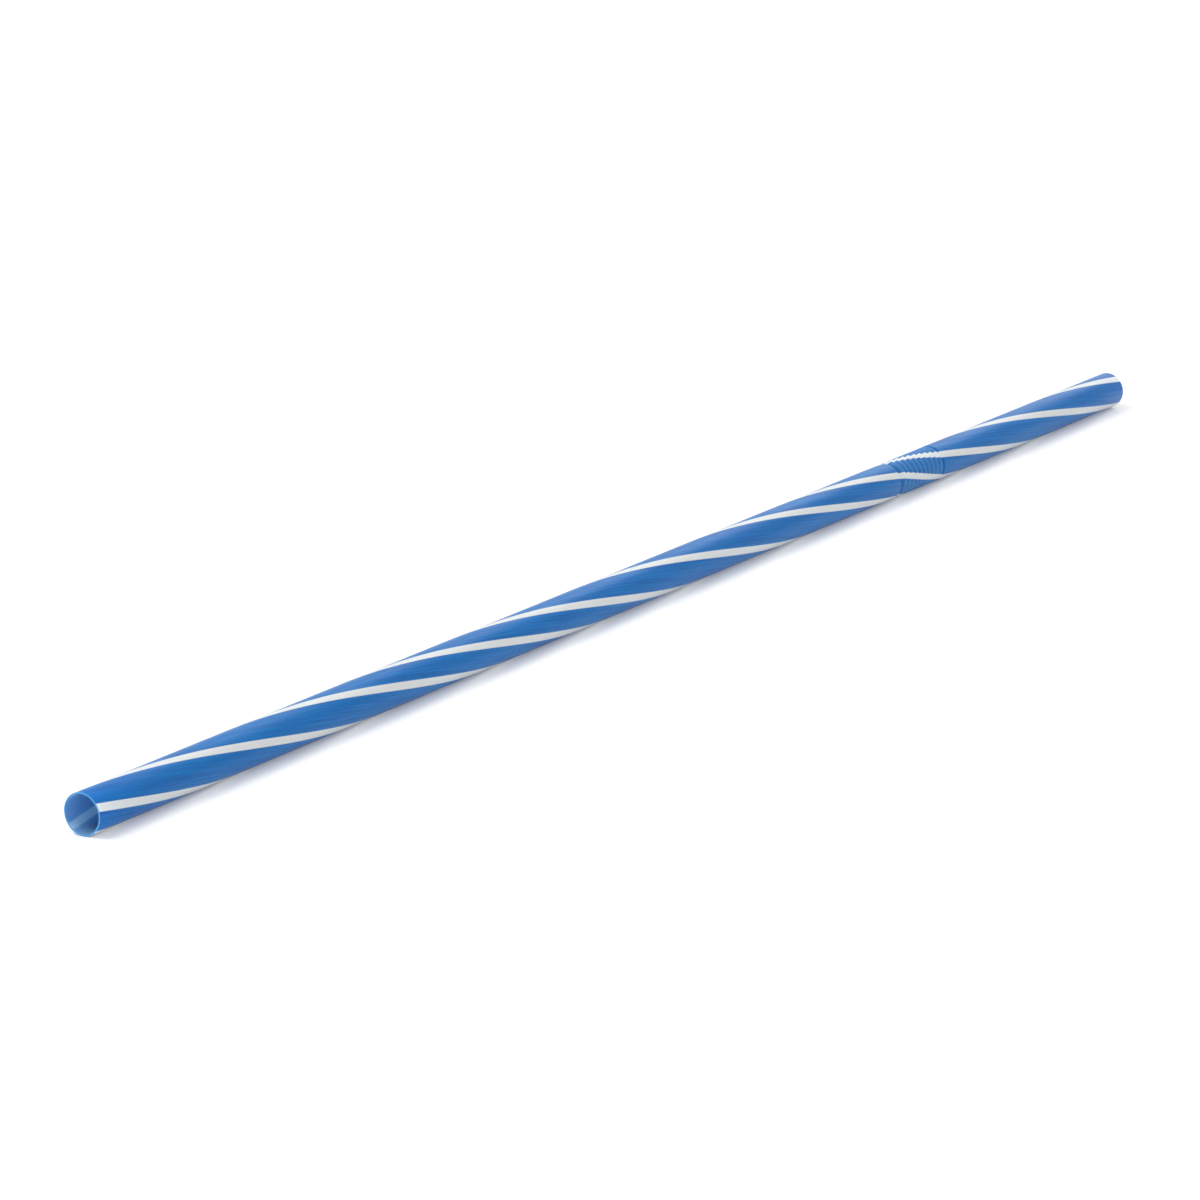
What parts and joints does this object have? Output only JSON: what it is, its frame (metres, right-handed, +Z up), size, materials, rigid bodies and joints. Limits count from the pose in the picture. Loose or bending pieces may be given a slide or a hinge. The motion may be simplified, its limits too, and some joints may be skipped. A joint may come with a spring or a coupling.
{
  "type": "bendy plastic drinking straw",
  "caption": "Bendy drinking straw: one thin plastic tube in blue with white spiral stripes, a long leg, a ribbed bend pushed shut, and a short leg to drink from.",
  "frame": {"origin": "on the table, straight below the middle of the straw's length", "axes": "+X along the straw from the long leg's end to the drinking end, +Z up"},
  "size_m": [0.24, 0.005, 0.005],
  "materials": {
    "blue_plastic": "satin"
  },
  "bodies": {
    "root": {"straw": "blue_plastic"}
  },
  "joints": []
}
